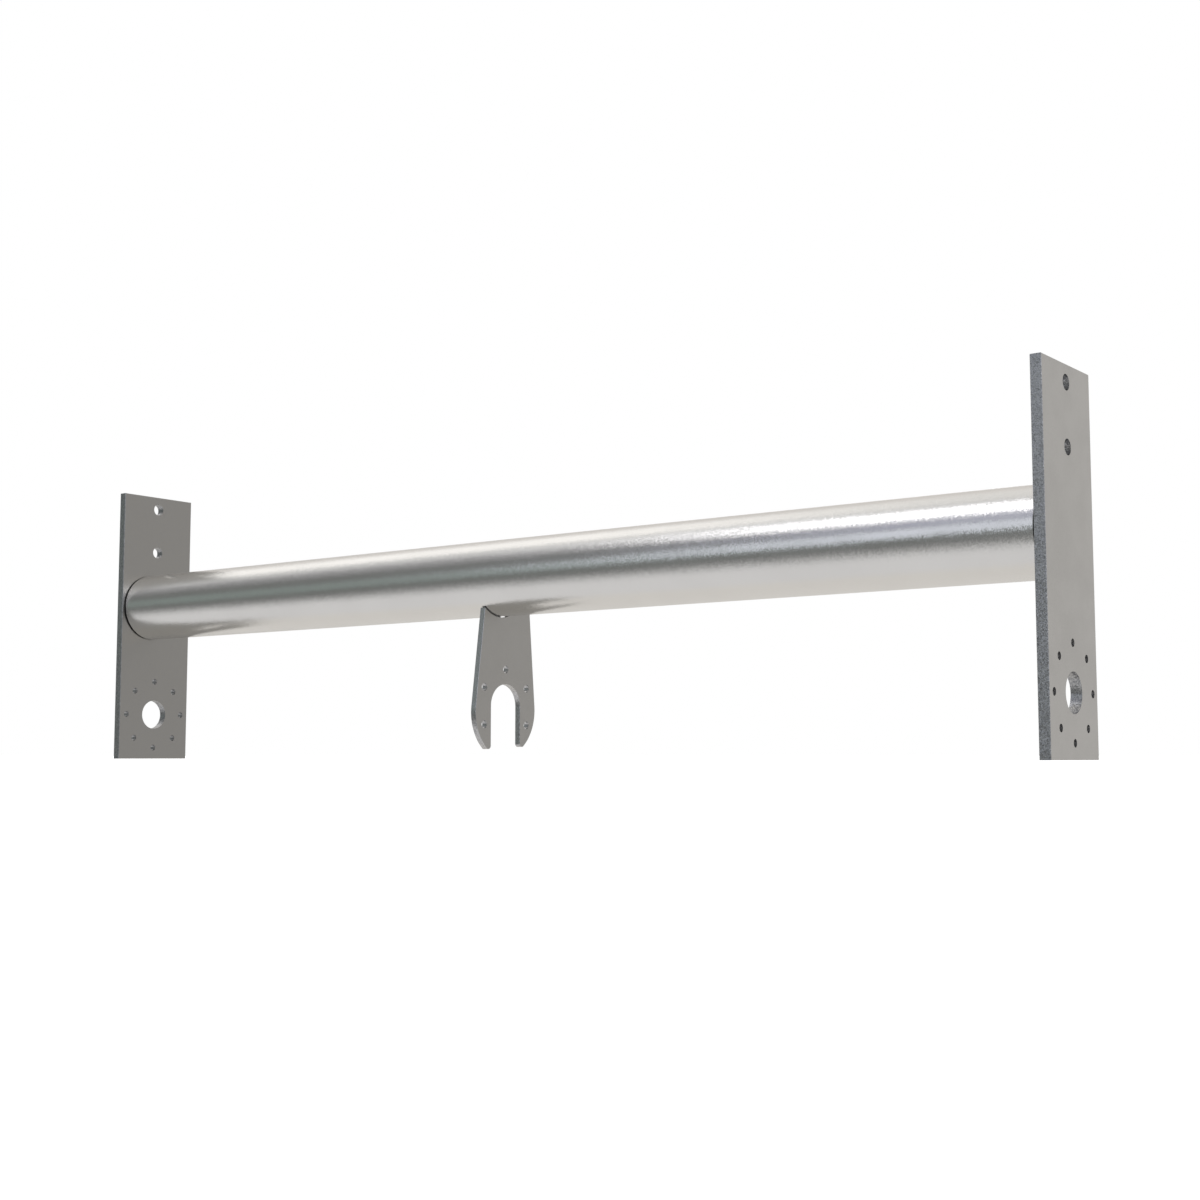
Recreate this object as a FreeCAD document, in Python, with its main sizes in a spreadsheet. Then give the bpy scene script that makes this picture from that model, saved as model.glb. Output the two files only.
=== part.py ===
import FreeCAD, Part

# A welded cross-beam for a pull-up station, in millimetres, +Z up.
# A horizontal tube joins two upright end plates, and a fork plate hangs under
# the tube beside the middle. The large bore of each end plate and the slot of
# the fork share one line, the bar axis, along which a pull-up bar lies.
# Origin: midway between the end plates, on their depth centre, at their feet.
# +X runs along the tube, -Y is the front, where the tube sits near the plates' edge.

import math
import os
import Sketcher

SIZES = [
    # alias, value, what it is
    ("overall_length", 1200.0, "outer face to outer face of the end plates"),
    ("plate_thickness", 10.0, "end plate"),
    ("plate_depth", 101.5, "end plate, front edge to rear edge"),
    ("plate_height", 328.0, "end plate, foot to top"),
    ("plate_edge_break", 0.4, "chamfer round both faces of an end plate"),
    ("bolt_diameter", 14.0, "the two bolt holes near the top of a plate"),
    ("top_bolt_drop", 15.5, "plate top down to the upper bolt hole"),
    ("bolt_spacing", 54.5, "upper bolt hole down to the lower one"),
    ("bar_axis_height", 54.7, "bar axis above the plates' feet"),
    ("bar_bore", 35.0, "large bore of an end plate"),
    ("flange_circle", 82.0, "bolt circle round the large bore"),
    ("flange_hole", 7.0, "small holes on that circle"),
    ("tube_diameter", 80.0, "outside of the tube"),
    ("tube_wall", 4.0, "wall of the tube"),
    ("tube_axis_height", 187.8, "tube axis above the plates' feet"),
    ("tube_setback", 3.0, "front of the tube behind the plates' front edge"),
    ("root_gap", 2.0, "tube end to end plate, filled by the ring weld"),
    ("weld_recess", 1.2, "how far a weld lies below the surfaces beside it"),
    ("fork_thickness", 6.5, "fork plate"),
    ("fork_offset", 14.35, "fork's mid-plane to the left of the beam's middle"),
    ("fork_edge_break", 0.3, "chamfer round both faces of the fork"),
    ("saddle_gap", 1.0, "tube surface to the fork's saddle"),
    ("saddle_half_angle", 38.0, "saddle's ends, from straight below the tube"),
    ("front_weld_end_angle", 0.5, "front saddle weld ends here, rearwards of straight below the tube"),
    ("rear_weld_start_angle", 17.0, "rear saddle weld starts here, measured the same way"),
    ("weld_end_angle", 2.0, "each saddle weld stops this far from the saddle's end"),
    ("fork_rear_top", 38.2, "rear top corner of the fork behind the bar axis"),
    ("fork_round", 48.0, "radius of the fork's two outer rounds"),
    ("front_round_shift", 1.3, "centre of the front round behind the bar axis"),
    ("front_round_drop", 6.5, "centre of the front round below the bar axis"),
    ("rear_round_shift", 0.8, "centre of the rear round before the bar axis"),
    ("rear_round_drop", 3.5, "centre of the rear round below the bar axis"),
    ("front_leg_drop", 44.3, "end of the front leg below the bar axis"),
    ("rear_leg_drop", 41.9, "end of the rear leg below the bar axis"),
    ("leg_corner", 3.5, "rounding of each leg's inner corner"),
    ("slot_width", 45.5, "the fork's slot, round at its top"),
    ("fork_circle", 76.7, "bolt circle round the slot"),
    ("fork_hole", 8.2, "small holes on that circle"),
]
FLANGE_HOLES = 8
FORK_HOLES = 5
FORK_HOLE_STEP = 60.0
FORK_FIRST_HOLE = -30.0

doc = FreeCAD.newDocument("pull_up_beam")
sheet = doc.addObject("Spreadsheet::Sheet", "Sizes")
for row, (alias, value, meaning) in enumerate(SIZES, start=1):
    sheet.set(f"A{row}", meaning)
    sheet.set(f"B{row}", str(value))
    sheet.setAlias(f"B{row}", alias)
doc.recompute()
size = {alias: float(sheet.get(alias)) for alias, value, meaning in SIZES}

# expressions that several pieces share
INNER_SPAN = "(Sizes.overall_length - 2 * Sizes.plate_thickness)"
TUBE_LENGTH = f"({INNER_SPAN} - 2 * Sizes.root_gap)"
TUBE_FRONT = "(Sizes.tube_setback - Sizes.plate_depth / 2)"
TUBE_SHIFT = f"({TUBE_FRONT} + Sizes.tube_diameter / 2)"
SADDLE_RADIUS = "(Sizes.tube_diameter / 2 + Sizes.saddle_gap)"
WELD_OUTER = "(Sizes.tube_diameter / 2 - Sizes.weld_recess)"
TUBE_INNER = "(Sizes.tube_diameter / 2 - Sizes.tube_wall)"


def body_named(name, along_x):
    """A body whose frame is moved along X by the expression along_x."""
    body = doc.addObject("PartDesign::Body", name)
    body.Label = name
    body.setExpression("Placement.Base.x", along_x)
    return body


def cross_sketch(body, name, across="0", up="0"):
    """A sketch square to X: its x is the model's Y and its y is the model's Z."""
    sketch = body.newObject("Sketcher::SketchObject", name)
    plane = next(o for o in body.Origin.OriginFeatures if o.Role == "YZ_Plane")
    sketch.AttachmentSupport = [(plane, "")]
    sketch.MapMode = "FlatFace"
    sketch.setExpression("AttachmentOffset.Base.x", across)
    sketch.setExpression("AttachmentOffset.Base.y", up)
    return sketch


def constrain(sketch, name, expression, *what):
    """Adds a dimension, gives it a name and binds it to an expression."""
    index = sketch.addConstraint(Sketcher.Constraint(*what))
    sketch.renameConstraint(index, name)
    sketch.setExpression(f"Constraints.{name}", expression)


def circle(sketch, name, radius, across=0.0):
    """A circle on the sketch's x axis, of the radius that the expression gives."""
    centre = FreeCAD.Vector(across, 0, 0)
    rim = sketch.addGeometry(Part.Circle(centre, FreeCAD.Vector(0, 0, 1), 1.0))
    if not across:
        sketch.addConstraint(Sketcher.Constraint("Coincident", rim, 3, -1, 1))
    constrain(sketch, name, radius, "Radius", rim, 1.0)
    return rim


def polar_point(centre, radius, degrees):
    """A point at an angle from straight down, positive towards the rear."""
    angle = math.radians(degrees)
    return (centre[0] + radius * math.sin(angle), centre[1] - radius * math.cos(angle))


def arc(sketch, centre, start, end):
    """An arc from start to end, anticlockwise about its centre."""
    radius = math.dist(centre, start)
    angles = [math.atan2(p[1] - centre[1], p[0] - centre[0]) for p in (start, end)]
    round_line = Part.Circle(FreeCAD.Vector(*centre, 0), FreeCAD.Vector(0, 0, 1), radius)
    return sketch.addGeometry(Part.ArcOfCircle(round_line, *angles))


def line(sketch, start, end):
    return sketch.addGeometry(Part.LineSegment(FreeCAD.Vector(*start, 0), FreeCAD.Vector(*end, 0)))


def pad(body, sketch, name, length, both_ways=False):
    feature = body.newObject("PartDesign::Pad", name)
    feature.Profile = sketch
    feature.SideType = "Symmetric" if both_ways else "One side"
    feature.setExpression("Length", length)
    return feature


def cut_through(body, sketch, name):
    """A pocket through the whole body, whichever way the sketch faces."""
    feature = body.newObject("PartDesign::Pocket", name)
    feature.Profile = sketch
    feature.SideType = "Symmetric"
    feature.Type = "ThroughAll"
    return feature


def polar(body, seed, name, step, count):
    """Repeats a pocket round the origin of its own sketch."""
    feature = body.newObject("PartDesign::PolarPattern", name)
    feature.Originals = [seed]
    feature.Axis = (seed.Profile[0], ["N_Axis"])
    whole_turn = abs(step * count - 360.0) < 1e-6
    feature.Angle = 360.0 if whole_turn else step * (count - 1)
    feature.Occurrences = count
    body.Tip = feature
    return feature


def break_rims(body, base, name, amount):
    """Chamfers the outlines of the two faces that lie square to X."""
    doc.recompute()
    rims = [f"Face{i}" for i, face in enumerate(base.Shape.Faces, start=1)
            if face.Surface.TypeId == "Part::GeomPlane"
            and abs(face.normalAt(0, 0).x) > 0.999]
    feature = body.newObject("PartDesign::Chamfer", name)
    feature.Base = (base, rims)
    feature.setExpression("Size", amount)
    return feature


def end_plate(name, along_x):
    """An upright plate with two bolt holes, a large bore and its bolt circle."""
    body = body_named(name, along_x)

    outline = cross_sketch(body, f"{name}_outline")
    half, tall = size["plate_depth"] / 2, size["plate_height"]
    corners = [(-half, 0), (half, 0), (half, tall), (-half, tall)]
    for start, end in zip(corners, corners[1:] + corners[:1]):
        line(outline, start, end)
    for side in range(4):
        outline.addConstraint(Sketcher.Constraint("Coincident", side, 2, (side + 1) % 4, 1))
        direction = "Vertical" if side % 2 else "Horizontal"
        outline.addConstraint(Sketcher.Constraint(direction, side))
    outline.addConstraint(Sketcher.Constraint("Symmetric", 0, 1, 0, 2, -1, 1))
    constrain(outline, "depth", "Sizes.plate_depth", "DistanceX", 0, 1, 0, 2, 2 * half)
    constrain(outline, "height", "Sizes.plate_height", "DistanceY", 1, 1, 1, 2, tall)
    blank = pad(body, outline, f"{name}_blank", "Sizes.plate_thickness")
    break_rims(body, blank, f"{name}_edges", "Sizes.plate_edge_break")

    for bolt, drop in (("upper", "Sizes.top_bolt_drop"),
                       ("lower", "Sizes.top_bolt_drop + Sizes.bolt_spacing")):
        hole = cross_sketch(body, f"{name}_{bolt}_bolt", up=f"Sizes.plate_height - ({drop})")
        circle(hole, "radius", "Sizes.bolt_diameter / 2")
        cut_through(body, hole, f"{name}_{bolt}_bolt_hole")

    bore = cross_sketch(body, f"{name}_bore", up="Sizes.bar_axis_height")
    circle(bore, "radius", "Sizes.bar_bore / 2")
    cut_through(body, bore, f"{name}_bar_bore")

    hole = cross_sketch(body, f"{name}_flange", up="Sizes.bar_axis_height")
    rim = circle(hole, "radius", "Sizes.flange_hole / 2", size["flange_circle"] / 2)
    hole.addConstraint(Sketcher.Constraint("PointOnObject", rim, 3, -1))
    constrain(hole, "reach", "Sizes.flange_circle / 2", "DistanceX", -1, 1, rim, 3,
              size["flange_circle"] / 2)
    seed = cut_through(body, hole, f"{name}_flange_hole")
    polar(body, seed, f"{name}_flange_holes", 360.0 / FLANGE_HOLES, FLANGE_HOLES)
    return body


def ring(name, along_x, outer, inner, length, both_ways=False):
    """A ring about the tube's axis."""
    body = body_named(name, along_x)
    sketch = cross_sketch(body, f"{name}_section", TUBE_SHIFT, "Sizes.tube_axis_height")
    circle(sketch, "outer", outer)
    circle(sketch, "inner", inner)
    pad(body, sketch, f"{name}_length", length, both_ways)
    return body


def saddle_weld(name, first, last, first_angle, last_angle):
    """A strip of weld in the saddle's gap, between two angles from straight down."""
    body = body_named(name, "-Sizes.fork_offset")
    sketch = cross_sketch(body, f"{name}_section", TUBE_SHIFT, "Sizes.tube_axis_height")
    inner, outer = size["tube_diameter"] / 2, size["tube_diameter"] / 2 + size["saddle_gap"]
    near = [polar_point((0, 0), inner, angle) for angle in (first, last)]
    far = [polar_point((0, 0), outer, angle) for angle in (first, last)]
    inside = arc(sketch, (0, 0), near[0], near[1])
    outside = arc(sketch, (0, 0), far[0], far[1])
    start = line(sketch, near[0], far[0])
    end = line(sketch, near[1], far[1])
    for curve in (inside, outside):
        sketch.addConstraint(Sketcher.Constraint("Coincident", curve, 3, -1, 1))
    for side, corner in ((start, 1), (end, 2)):
        sketch.addConstraint(Sketcher.Constraint("Coincident", inside, corner, side, 1))
        sketch.addConstraint(Sketcher.Constraint("Coincident", outside, corner, side, 2))
        sketch.addConstraint(Sketcher.Constraint("PointOnObject", -1, 1, side))
    constrain(sketch, "inner", "Sizes.tube_diameter / 2", "Radius", inside, inner)
    constrain(sketch, "outer", SADDLE_RADIUS, "Radius", outside, outer)
    for label, side, degrees, expression in (("first", start, first, first_angle),
                                             ("last", end, last, last_angle)):
        constrain(sketch, label, f"({expression} - 90) * 1 deg", "Angle", side,
                  math.radians(degrees - 90))
    pad(body, sketch, f"{name}_width", "Sizes.fork_thickness - 2 * Sizes.weld_recess", True)
    return body


def tangent_point(centre, radius, corner, side):
    """Where the line from a corner touches a round: side is 1 at the rear, -1 in front."""
    across, up = side * (corner[0] - centre[0]), corner[1] - centre[1]
    angle = math.atan2(up, across) - math.acos(radius / math.hypot(across, up))
    return (centre[0] + side * radius * math.cos(angle), centre[1] + radius * math.sin(angle))


def fork_outline(body):
    """The fork's closed outline, drawn about the bar axis and then fully constrained."""
    sketch = cross_sketch(body, "fork_outline", up="Sizes.bar_axis_height")

    tube = (size["tube_setback"] - size["plate_depth"] / 2 + size["tube_diameter"] / 2,
            size["tube_axis_height"] - size["bar_axis_height"])
    saddle = size["tube_diameter"] / 2 + size["saddle_gap"]
    front_top = polar_point(tube, saddle, -size["saddle_half_angle"])
    saddle_end = polar_point(tube, saddle, size["saddle_half_angle"])
    rear_top = (size["fork_rear_top"], saddle_end[1])
    outer = size["fork_round"]
    rear_centre = (-size["rear_round_shift"], -size["rear_round_drop"])
    front_centre = (size["front_round_shift"], -size["front_round_drop"])
    rear_touch = tangent_point(rear_centre, outer, rear_top, 1)
    front_touch = tangent_point(front_centre, outer, front_top, -1)
    slot = size["slot_width"] / 2
    rear_leg, front_leg = -size["rear_leg_drop"], -size["front_leg_drop"]
    rear_toe = rear_centre[0] + math.sqrt(outer ** 2 - (rear_leg - rear_centre[1]) ** 2)
    front_toe = front_centre[0] - math.sqrt(outer ** 2 - (front_leg - front_centre[1]) ** 2)

    saddle_arc = arc(sketch, tube, front_top, saddle_end)
    top = line(sketch, saddle_end, rear_top)
    rear_side = line(sketch, rear_top, rear_touch)
    rear_round = arc(sketch, rear_centre, (rear_toe, rear_leg), rear_touch)
    rear_end = line(sketch, (rear_toe, rear_leg), (slot, rear_leg))
    rear_wall = line(sketch, (slot, rear_leg), (slot, 0))
    slot_arc = arc(sketch, (0, 0), (slot, 0), (-slot, 0))
    front_wall = line(sketch, (-slot, 0), (-slot, front_leg))
    front_end = line(sketch, (-slot, front_leg), (front_toe, front_leg))
    front_round = arc(sketch, front_centre, front_touch, (front_toe, front_leg))
    front_side = line(sketch, front_touch, front_top)

    rules = [
        ("Coincident", saddle_arc, 2, top, 1),
        ("Coincident", top, 2, rear_side, 1),
        ("Tangent", rear_side, 2, rear_round, 2),
        ("Coincident", rear_round, 1, rear_end, 1),
        ("Coincident", rear_end, 2, rear_wall, 1),
        ("Tangent", rear_wall, 2, slot_arc, 1),
        ("Tangent", slot_arc, 2, front_wall, 1),
        ("Coincident", front_wall, 2, front_end, 1),
        ("Coincident", front_end, 2, front_round, 2),
        ("Tangent", front_round, 1, front_side, 1),
        ("Coincident", front_side, 2, saddle_arc, 1),
        ("Horizontal", top),
        ("Horizontal", rear_end),
        ("Horizontal", front_end),
        ("Horizontal", saddle_arc, 1, saddle_arc, 2),
        ("Vertical", rear_wall),
        ("Vertical", front_wall),
        ("Coincident", slot_arc, 3, -1, 1),
        ("Equal", rear_round, front_round),
    ]
    for rule in rules:
        sketch.addConstraint(Sketcher.Constraint(*rule))

    half_chord = f"{SADDLE_RADIUS} * sin(Sizes.saddle_half_angle * 1 deg)"
    constrain(sketch, "tube_across", TUBE_SHIFT, "DistanceX", -1, 1, saddle_arc, 3, tube[0])
    constrain(sketch, "tube_up", "Sizes.tube_axis_height - Sizes.bar_axis_height",
              "DistanceY", -1, 1, saddle_arc, 3, tube[1])
    constrain(sketch, "saddle", SADDLE_RADIUS, "Radius", saddle_arc, saddle)
    constrain(sketch, "half_chord", half_chord, "DistanceX", saddle_arc, 3, saddle_arc, 2,
              saddle_end[0] - tube[0])
    constrain(sketch, "rear_top", "Sizes.fork_rear_top", "DistanceX", -1, 1, top, 2, rear_top[0])
    constrain(sketch, "round", "Sizes.fork_round", "Radius", rear_round, outer)
    constrain(sketch, "rear_shift", "Sizes.rear_round_shift",
              "DistanceX", rear_round, 3, -1, 1, -rear_centre[0])
    constrain(sketch, "rear_drop", "Sizes.rear_round_drop",
              "DistanceY", rear_round, 3, -1, 1, -rear_centre[1])
    constrain(sketch, "front_shift", "Sizes.front_round_shift",
              "DistanceX", -1, 1, front_round, 3, front_centre[0])
    constrain(sketch, "front_drop", "Sizes.front_round_drop",
              "DistanceY", front_round, 3, -1, 1, -front_centre[1])
    constrain(sketch, "slot", "Sizes.slot_width / 2", "Radius", slot_arc, slot)
    constrain(sketch, "rear_leg", "Sizes.rear_leg_drop",
              "DistanceY", rear_wall, 1, -1, 1, -rear_leg)
    constrain(sketch, "front_leg", "Sizes.front_leg_drop",
              "DistanceY", front_wall, 2, -1, 1, -front_leg)
    return sketch


def inner_leg_corners(shape):
    """The two edges along X where a leg's end meets the wall of the slot."""
    names = []
    for index, edge in enumerate(shape.Edges, start=1):
        ends = [vertex.Point for vertex in edge.Vertexes]
        along_x = len(ends) == 2 and (ends[1] - ends[0]).cross(FreeCAD.Vector(1, 0, 0)).Length < 1e-6
        below_axis = all(end.z < size["bar_axis_height"] - 1.0 for end in ends)
        on_wall = all(abs(abs(end.y) - size["slot_width"] / 2) < 1e-4 for end in ends)
        if along_x and below_axis and on_wall:
            names.append(f"Edge{index}")
    return names


def fork_plate():
    """The plate under the tube, with a slot open downwards and a part bolt circle."""
    body = body_named("fork_plate", "-Sizes.fork_offset")
    blank = pad(body, fork_outline(body), "fork_blank", "Sizes.fork_thickness", both_ways=True)
    doc.recompute()
    corners = body.newObject("PartDesign::Fillet", "fork_leg_corners")
    corners.Base = (blank, inner_leg_corners(blank.Shape))
    corners.setExpression("Radius", "Sizes.leg_corner")
    break_rims(body, corners, "fork_edges", "Sizes.fork_edge_break")

    hole = cross_sketch(body, "fork_bolt", up="Sizes.bar_axis_height")
    first = math.radians(FORK_FIRST_HOLE)
    reach = size["fork_circle"] / 2
    ray = line(hole, (0, 0), (reach * math.cos(first), reach * math.sin(first)))
    hole.toggleConstruction(ray)
    hole.addConstraint(Sketcher.Constraint("Coincident", ray, 1, -1, 1))
    hole.addConstraint(Sketcher.Constraint("Angle", ray, first))
    constrain(hole, "reach", "Sizes.fork_circle / 2", "Distance", ray, reach)
    centre = FreeCAD.Vector(reach * math.cos(first), reach * math.sin(first), 0)
    rim = hole.addGeometry(Part.Circle(centre, FreeCAD.Vector(0, 0, 1), 1.0))
    hole.addConstraint(Sketcher.Constraint("Coincident", rim, 3, ray, 2))
    constrain(hole, "radius", "Sizes.fork_hole / 2", "Radius", rim, 1.0)
    seed = cut_through(body, hole, "fork_bolt_hole")
    polar(body, seed, "fork_bolt_holes", FORK_HOLE_STEP, FORK_HOLES)
    return body


HALF = "Sizes.overall_length / 2"
bodies = [
    ring("crossbeam_tube", "0", "Sizes.tube_diameter / 2", TUBE_INNER, TUBE_LENGTH, both_ways=True),
    end_plate("left_end_plate", f"-{HALF}"),
    end_plate("right_end_plate", f"{HALF} - Sizes.plate_thickness"),
    ring("left_tube_weld", f"-{INNER_SPAN} / 2", WELD_OUTER, TUBE_INNER, "Sizes.root_gap"),
    ring("right_tube_weld", f"{TUBE_LENGTH} / 2", WELD_OUTER, TUBE_INNER, "Sizes.root_gap"),
    fork_plate(),
]
WELD_REACH = "(Sizes.saddle_half_angle - Sizes.weld_end_angle)"
reach = size["saddle_half_angle"] - size["weld_end_angle"]
bodies.append(saddle_weld("front_fork_weld", -reach, size["front_weld_end_angle"],
                          f"-{WELD_REACH}", "Sizes.front_weld_end_angle"))
bodies.append(saddle_weld("rear_fork_weld", size["rear_weld_start_angle"], reach,
                          "Sizes.rear_weld_start_angle", WELD_REACH))
doc.recompute()

for item in doc.Objects:
    if {"Invalid", "Error"} & set(item.State):
        raise RuntimeError(f"{item.Label} failed: {item.State}")
for body in bodies:
    if body.Shape.isNull() or not body.Shape.isValid() or len(body.Shape.Solids) != 1:
        raise RuntimeError(f"{body.Label} isn't one valid solid")

os.makedirs("parts", exist_ok=True)
for body in bodies:
    body.Shape.exportStep(f"parts/{body.Label}.step")
    box = body.Shape.BoundBox
    print(f"{body.Label}: volume {body.Shape.Volume:.1f} mm3, "
          f"x {box.XMin:.2f}..{box.XMax:.2f}, y {box.YMin:.2f}..{box.YMax:.2f}, "
          f"z {box.ZMin:.2f}..{box.ZMax:.2f}")
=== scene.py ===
import math

import bpy
import numpy as np
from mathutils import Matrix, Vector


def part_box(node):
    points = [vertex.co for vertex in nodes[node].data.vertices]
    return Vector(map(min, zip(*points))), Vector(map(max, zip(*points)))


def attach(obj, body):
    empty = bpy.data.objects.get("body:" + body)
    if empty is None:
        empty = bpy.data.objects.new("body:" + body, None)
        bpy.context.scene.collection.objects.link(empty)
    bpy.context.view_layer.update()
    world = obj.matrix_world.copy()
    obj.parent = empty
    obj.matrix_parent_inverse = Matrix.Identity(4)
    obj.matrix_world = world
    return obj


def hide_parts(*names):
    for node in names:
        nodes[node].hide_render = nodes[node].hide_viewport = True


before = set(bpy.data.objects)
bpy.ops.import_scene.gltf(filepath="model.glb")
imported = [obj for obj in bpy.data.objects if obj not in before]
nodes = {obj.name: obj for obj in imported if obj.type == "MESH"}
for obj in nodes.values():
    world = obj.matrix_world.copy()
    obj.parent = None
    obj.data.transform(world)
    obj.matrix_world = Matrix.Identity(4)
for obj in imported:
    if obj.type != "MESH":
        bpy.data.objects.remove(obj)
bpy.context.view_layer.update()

# A welded crossbeam for a pull-up station, in bare steel: a tube between two drilled
# end plates, and a slotted fork plate welded under the tube.
# Everything is in metres. +X runs along the tube, -Y is the front and +Z is up.

MM = 0.001


# ---------------------------------------------------------------- shader maths

class Value:
    """A socket of a node tree, which takes + and * with numbers and with other sockets."""

    def __init__(self, tree, socket):
        self.tree = tree
        self.socket = socket

    def maths(self, operation, *others):
        return self.tree.node("ShaderNodeMath", [self, *others], operation=operation)

    def __add__(self, other):
        return self.maths("ADD", other)

    def __mul__(self, other):
        return self.maths("MULTIPLY", other)

    __radd__ = __add__
    __rmul__ = __mul__

    def step(self, low, high, start=0.0, end=1.0):
        """Runs smoothly from start to end as the value goes from low to high."""
        return self.tree.node("ShaderNodeMapRange", [self, low, high, start, end],
                              interpolation_type="SMOOTHSTEP")


class Tree:
    """The node tree of a material or a world."""

    def __init__(self, owner):
        owner.use_nodes = True
        self.tree = owner.node_tree
        self.tree.nodes.clear()

    def node(self, kind, sockets=(), output=0, **settings):
        """A node of a kind with its settings, then its sockets: a list, or places to values.

        Gives the output that is asked for, or nothing where the node has no outputs."""
        made = self.tree.nodes.new(kind)
        for name, setting in settings.items():
            setattr(made, name, setting)
        for place, value in sockets.items() if isinstance(sockets, dict) else enumerate(sockets):
            if isinstance(value, Value):
                self.tree.links.new(value.socket, made.inputs[place])
            else:
                made.inputs[place].default_value = value
        return Value(self, made.outputs[output]) if len(made.outputs) else None

    def mix(self, factor, first, second):
        """Two colours mixed: all first at a factor of 0, all second at 1."""
        return self.node("ShaderNodeMix", {0: factor, 6: first, 7: second}, output=2,
                         data_type="RGBA")


def colour(red, green, blue):
    return (red, green, blue, 1.0)


def grey(level):
    return colour(level, level, level)


# ------------------------------------------------------------------- materials

# The tube's bright satin finish, and its slightly duller patches.
STEEL = colour(0.905, 0.895, 0.88)
DULL_STEEL = colour(0.87, 0.86, 0.845)
TUBE_SPECK = 0.75 * MM
TUBE_LEAN = 0.10

# The flat faces of the plates and the fork, as rolled.
ROLLED = colour(0.395, 0.39, 0.377)
DARK_ROLLED = colour(0.38, 0.375, 0.362)
ROLLED_ROUGHNESS = 0.30
ROLLED_LEAN = 0.03
PLATE_SPECK = 0.8 * MM

# Cut metal: the end plates' edges and holes are sawn and drilled, darker and rougher
# than the fork's, which are cut clean.
SAWN = colour(0.62, 0.62, 0.625)
DARK_SAWN = colour(0.30, 0.305, 0.315)
CLEAN_CUT = colour(0.74, 0.735, 0.735)
DARK_CLEAN_CUT = colour(0.48, 0.48, 0.49)

# Noises: patches on the tube and on the plates, and scale on the welds, per metre.
TUBE_PATCHES = 16.0
PLATE_PATCHES = 24.0
WELD_SCALE = 900.0
WELD_SCALE_DEPTH = 0.1 * MM


def specks(tree, place, size, lean):
    """Tiny flat specks of a size, as blasting leaves them, each leaning its own way.

    Gives a shade from 0 to 1 for each speck, and the surface's direction: its own
    direction plus a random vector of up to half the lean along each axis."""
    speck = tree.node("ShaderNodeTexVoronoi", {"Vector": place, "Scale": 1.0 / size}, output="Color")
    shade = tree.node("ShaderNodeSeparateXYZ", [speck], output="X")
    away = tree.node("ShaderNodeVectorMath", {0: speck, 1: (0.5, 0.5, 0.5)}, operation="SUBTRACT")
    push = tree.node("ShaderNodeVectorMath", {0: away, "Scale": lean}, operation="SCALE")
    facing = tree.node("ShaderNodeNewGeometry", output="Normal")
    leaning = tree.node("ShaderNodeVectorMath", [facing, push], operation="ADD")
    return shade, tree.node("ShaderNodeVectorMath", [leaning], operation="NORMALIZE")


def satin_steel(name):
    """The tube's satin finish: bright steel covered in fine leaning specks.

    A slow noise along the tube makes patches where the finish is a touch duller."""
    material = bpy.data.materials.new(name)
    tree = Tree(material)
    place = tree.node("ShaderNodeTexCoord", output="Object")
    shade, tilt = specks(tree, place, TUBE_SPECK, TUBE_LEAN)
    patches = tree.node("ShaderNodeTexNoise", {
        "Vector": place, "Scale": TUBE_PATCHES, "Detail": 3.0, "Roughness": 0.55})
    dull = patches.step(0.35, 0.65)
    shader = tree.node("ShaderNodeBsdfPrincipled", {
        "Base Color": tree.mix(0.6 * shade + 0.4 * dull, STEEL, DULL_STEEL),
        "Metallic": 1.0, "Roughness": 0.20 + 0.03 * dull, "Normal": tilt})
    tree.node("ShaderNodeOutputMaterial", {"Surface": shader})
    return material


def plate_metal(name, cut_bright, cut_dark, cut_roughness, cut_lean):
    """A plate: dark rolled faces, and cut edges and hole walls of brighter, grainy metal.

    The surface's own direction along X tells a face from a cut."""
    material = bpy.data.materials.new(name)
    tree = Tree(material)
    place = tree.node("ShaderNodeTexCoord", output="Object")
    facing = tree.node("ShaderNodeTexCoord", output="Normal")
    sideways = tree.node("ShaderNodeSeparateXYZ", [facing], output="X").maths("ABSOLUTE")
    cut = sideways.step(0.95, 0.75)
    lean = ROLLED_LEAN + (cut_lean - ROLLED_LEAN) * cut
    shade, tilt = specks(tree, place, PLATE_SPECK, lean)
    patches = tree.node("ShaderNodeTexNoise", {
        "Vector": place, "Scale": PLATE_PATCHES, "Detail": 4.0, "Roughness": 0.6})
    dull = patches.step(0.35, 0.65)
    rolled = tree.mix(0.6 * dull + 0.4 * shade, ROLLED, DARK_ROLLED)
    fresh = tree.mix(shade, cut_bright, cut_dark)
    rough = tree.node("ShaderNodeMapRange", [
        cut, 0.0, 1.0, ROLLED_ROUGHNESS + 0.03 * dull, cut_roughness])
    shader = tree.node("ShaderNodeBsdfPrincipled", {
        "Base Color": tree.mix(cut, rolled, fresh),
        "Metallic": 1.0, "Roughness": rough, "Normal": tilt})
    tree.node("ShaderNodeOutputMaterial", {"Surface": shader})
    return material


def weld_metal(name, dark_grey_painted_shade, light_grey_painted_shade):
    """Weld: rough and scaly, mixed at random between a darker and a lighter grey. Both greys are
    held dark as painted shade for the shaded gap along the seam.
    """
    material = bpy.data.materials.new(name)
    tree = Tree(material)
    place = tree.node("ShaderNodeTexCoord", output="Object")
    scale = tree.node("ShaderNodeTexNoise", {
        "Vector": place, "Scale": WELD_SCALE, "Detail": 4.0, "Roughness": 0.7})
    clean = scale.step(0.35, 0.7)
    bumps = tree.node("ShaderNodeBump", {
        "Strength": 0.6, "Distance": WELD_SCALE_DEPTH, "Height": scale})
    shader = tree.node("ShaderNodeBsdfPrincipled", {
        "Base Color": tree.mix(clean, grey(dark_grey_painted_shade), grey(light_grey_painted_shade)),
        "Metallic": 0.8, "Roughness": 0.6 + 0.15 * clean, "Normal": bumps})
    tree.node("ShaderNodeOutputMaterial", {"Surface": shader})
    return material


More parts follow.
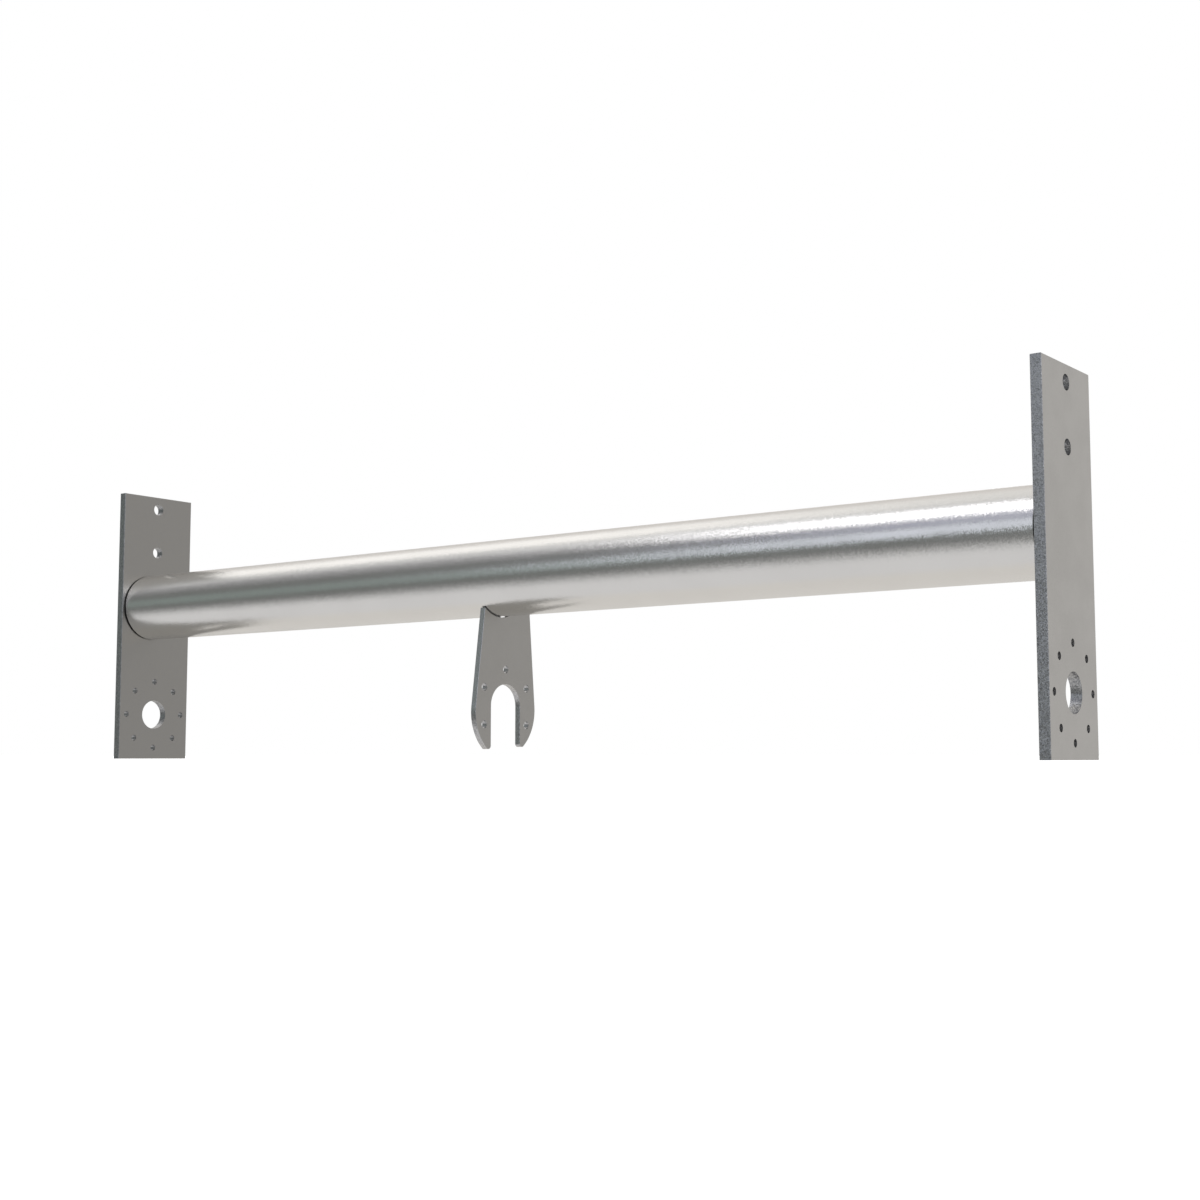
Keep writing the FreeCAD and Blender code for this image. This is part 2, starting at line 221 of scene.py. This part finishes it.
def finish(piece, material):
    """Gives every face of a piece one material."""
    piece.data.materials.clear()
    piece.data.materials.append(material)
    for face in piece.data.polygons:
        face.material_index = 0


tube_steel = satin_steel("tube_steel")
plate_steel = plate_metal("plate_steel", SAWN, DARK_SAWN, cut_roughness=0.33, cut_lean=0.22)
fork_steel = plate_metal("fork_steel", CLEAN_CUT, DARK_CLEAN_CUT, cut_roughness=0.25, cut_lean=0.16)
# The end welds' scaly mix is their own, but their near-black greys are painted shade for the deep,
# shaded gap where the tube meets the plates.
root_weld_painted_shade = weld_metal("root_weld_painted_shade", dark_grey_painted_shade=0.012, light_grey_painted_shade=0.03)
# The saddle welds are steel grey, partly the weld's own colour and partly darkened as painted shade
# for the shaded gap under the tube.
saddle_weld_painted_shade = weld_metal("saddle_weld_painted_shade", dark_grey_painted_shade=0.15, light_grey_painted_shade=0.30)


# ---------------------------------------------------------------------- pieces

TUBE_WALL = 4.0 * MM
TUBE_EDGE = 0.3 * MM
TUBE_SIDES = 288


def revolve(name, profile, axis_y, axis_z, around):
    """A closed ring profile, points of (x, radius), turned about the tube's axis.

    At a turn t each point goes to (x, axis_y + radius cos t, axis_z + radius sin t)."""
    turn = np.linspace(0.0, 2 * math.pi, around, endpoint=False)
    x = np.repeat(profile[:, 0][:, None], around, axis=1)
    y = axis_y + profile[:, 1][:, None] * np.cos(turn)[None, :]
    z = axis_z + profile[:, 1][:, None] * np.sin(turn)[None, :]
    return closed_grid(name, np.stack([x, y, z], axis=-1))


def closed_grid(name, points):
    """A mesh from a grid of points that closes on itself both ways.

    The faces are turned round if the volume that they enclose comes out negative, so
    that they point outwards."""
    rows, columns = points.shape[:2]
    index = np.arange(rows * columns).reshape(rows, columns)
    right = np.roll(index, -1, axis=1)
    down = np.roll(index, -1, axis=0)
    corner = np.roll(right, -1, axis=0)
    quads = np.stack([index, down, corner, right], axis=-1).reshape(-1, 4)
    a, b, c = (points.reshape(-1, 3)[quads[:, k]] for k in range(3))
    volume = np.einsum("ij,ij->", np.cross(b - a, c - a), a)
    if volume < 0:
        quads = quads[:, ::-1]
    mesh = bpy.data.meshes.new(name)
    mesh.from_pydata(points.reshape(-1, 3).tolist(), [], quads.tolist())
    mesh.update()
    piece = bpy.data.objects.new(name, mesh)
    bpy.context.scene.collection.objects.link(piece)
    return piece


def smooth(piece, degrees=30.0):
    """Smooth shading, with edges sharper than an angle kept crisp."""
    mesh = piece.data
    mesh.polygons.foreach_set("use_smooth", np.ones(len(mesh.polygons), bool))
    mesh.set_sharp_from_angle(angle=math.radians(degrees))


def ring_axis(node):
    """The centre line of a ring node: its y and z."""
    low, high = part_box(node)
    return (low.y + high.y) / 2, (low.z + high.z) / 2


def rounded_ring(x0, x1, inner, outer, edge, steps=6):
    """The section of a tube from x0 to x1: a quarter circle at each of its four corners."""
    bend = np.linspace(0.0, math.pi / 2, steps)
    corners = [(x1 - edge, outer - edge), (x1 - edge, inner + edge),
               (x0 + edge, inner + edge), (x0 + edge, outer - edge)]
    runs = []
    for quarter, (x, radius) in enumerate(corners):
        angle = math.pi / 2 - bend - quarter * math.pi / 2
        runs.append(np.stack([x + edge * np.cos(angle), radius + edge * np.sin(angle)], axis=1))
    return np.concatenate(runs)


def crossbeam_tube():
    """The tube as a finely divided round with softened ends."""
    low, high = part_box("crossbeam_tube")
    outer = (high.z - low.z) / 2
    section = rounded_ring(low.x, high.x, outer - TUBE_WALL, outer, TUBE_EDGE)
    piece = revolve("tube", section, *ring_axis("crossbeam_tube"), around=TUBE_SIDES)
    smooth(piece)
    finish(piece, tube_steel)
    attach(piece, "root")
    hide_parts("crossbeam_tube")


crossbeam_tube()
finish(nodes["fork_plate"], fork_steel)
for name in ("left_end_plate", "right_end_plate"):
    finish(nodes[name], plate_steel)
# The tube's end welds are painted near black: painted shade for the seam's gap.
for name in ("left_tube_weld", "right_tube_weld"):
    finish(nodes[name], root_weld_painted_shade)
# The fork's welds are painted darker than the fork: partly painted shade for the gap under the tube.
for name in ("front_fork_weld", "rear_fork_weld"):
    finish(nodes[name], saddle_weld_painted_shade)


# -------------------------------------------------------------- floor and light

FLOOR_REACH = 30.0
FLOOR_GLOW = 0.72
FLOOR_SHADE = 0.8


def pale_floor():
    """A wide pale floor at the plates' feet, lit from within so that it stays even.

    The steel doesn't mirror it: the studio's own ground is what shows in the metal."""
    reach = FLOOR_REACH
    mesh = bpy.data.meshes.new("floor")
    corners = [(-reach, -reach, 0), (reach, -reach, 0), (reach, reach, 0), (-reach, reach, 0)]
    mesh.from_pydata(corners, [], [(0, 1, 2, 3)])
    floor = bpy.data.objects.new("floor", mesh)
    bpy.context.scene.collection.objects.link(floor)
    material = bpy.data.materials.new("pale_floor")
    tree = Tree(material)
    glow = tree.node("ShaderNodeEmission", {"Color": grey(1.0), "Strength": FLOOR_GLOW})
    lit = tree.node("ShaderNodeBsdfDiffuse", {"Color": grey(FLOOR_SHADE)})
    both = tree.node("ShaderNodeAddShader", [glow, lit])
    tree.node("ShaderNodeOutputMaterial", {"Surface": both})
    mesh.materials.append(material)
    floor.visible_glossy = False
    floor.visible_diffuse = False


def studio():
    """A soft studio, as a sky of long strips of light that run beside the tube.

    A direction is told by its turn about X, in degrees from the front, with 90
    straight up and -90 straight down, and by its share along X, x. The sky is dim,
    and each strip is laid over what came before it. The backdrop itself is white."""
    world = bpy.data.worlds.new("studio")
    bpy.context.scene.world = world
    tree = Tree(world)
    way = tree.node("ShaderNodeTexCoord", output="Generated")
    x, y, z = (tree.node("ShaderNodeSeparateXYZ", [way], output=axis) for axis in range(3))
    turn = z.maths("ARCTAN2", -1.0 * y) * math.degrees(1.0)
    light = colour(0.155, 0.16, 0.155)

    def strip(start, end, soft):
        """1 between two turns, with soft sides."""
        return turn.step(start - soft, start + soft) * turn.step(end - soft, end + soft, 1.0, 0.0)

    def add(red, green, blue, amount):
        """Lays a colour over the light so far, by an amount from 0 to 1."""
        nonlocal light
        light = tree.mix(amount, light, colour(red, green, blue))

    # The ground, cool towards the front and warm straight down.
    add(0.65, 0.645, 0.645, turn.step(-7.0, -46.0))
    add(0.66, 0.64, 0.61, turn.step(-75.0, -95.0))
    # The ground behind, and the bright wall above it, which dims towards +X.
    add(0.67, 0.65, 0.62, turn.step(-110.0, -130.0))
    add(1.36, 1.33, 1.30, turn.step(142.0, 164.0) * x.step(-0.85, -0.40, 0.70, 1.0))
    behind = turn.maths("ABSOLUTE").step(138.0, 160.0)
    add(0.92, 0.90, 0.88, behind * x.step(-0.15, 0.15))
    add(0.50, 0.49, 0.48, behind * x.step(0.45, 0.80))
    # The ceiling: dimmer behind, bright overhead and fading towards the front.
    add(0.68, 0.65, 0.62, strip(118.0, 150.0, 10.0))
    add(1.06, 1.04, 1.01, strip(84.0, 122.0, 8.0) * x.step(-0.30, -0.60, 0.64, 1.0))
    add(0.58, 0.58, 0.58, strip(66.0, 84.0, 9.0))
    add(0.28, 0.28, 0.285, strip(50.0, 64.0, 7.0))
    # The lamp over the front, which hangs lower towards +X and fades out to the left,
    # and its lavender fringe.
    lamp_foot = (turn + x.step(-0.60, -0.40, -4.0, 4.5)).step(50.0, 58.0)
    lamp_head = (turn + x.step(-0.60, -0.38, 0.0, 3.0)).step(83.0, 75.0)
    add(1.75, 1.75, 1.80, lamp_foot * lamp_head * x.step(-0.60, -0.39))
    add(0.40, 0.41, 0.49, strip(30.0, 47.0, 3.0) * x.step(-0.58, -0.36))
    # A cool strip low in front: green at its left end, brighter and bluer to the right.
    add(0.215, 0.25, 0.235, strip(3.0, 25.0, 3.0))
    add(0.70, 0.73, 0.80, strip(7.0, 28.0, 4.0) * x.step(-0.70, -0.38))

    camera_ray = tree.node("ShaderNodeLightPath", output="Is Camera Ray")
    seen = tree.mix(camera_ray, light, grey(1.0))
    background = tree.node("ShaderNodeBackground", {"Color": seen, "Strength": 1.0})
    tree.node("ShaderNodeOutputWorld", {"Surface": background})


CAMERA_PLACE = (1.12144, -1.31575, 0.00366)
CAMERA_RISE = 5.336
CAMERA_HEADING = 37.486


def camera():
    """The viewpoint: low in front of the right plate, looking a little up and left."""
    lens = bpy.data.cameras.new("view")
    lens.lens = 50.0
    lens.sensor_width = 36.0
    lens.clip_start = 0.01
    lens.clip_end = 200.0
    eye = bpy.data.objects.new("view", lens)
    eye.location = CAMERA_PLACE
    eye.rotation_euler = (math.radians(90.0 + CAMERA_RISE), 0.0, math.radians(CAMERA_HEADING))
    bpy.context.scene.collection.objects.link(eye)
    bpy.context.scene.camera = eye


pale_floor()
studio()
camera()
bpy.context.scene.view_settings.view_transform = "Standard"
bpy.context.scene.view_settings.look = "None"
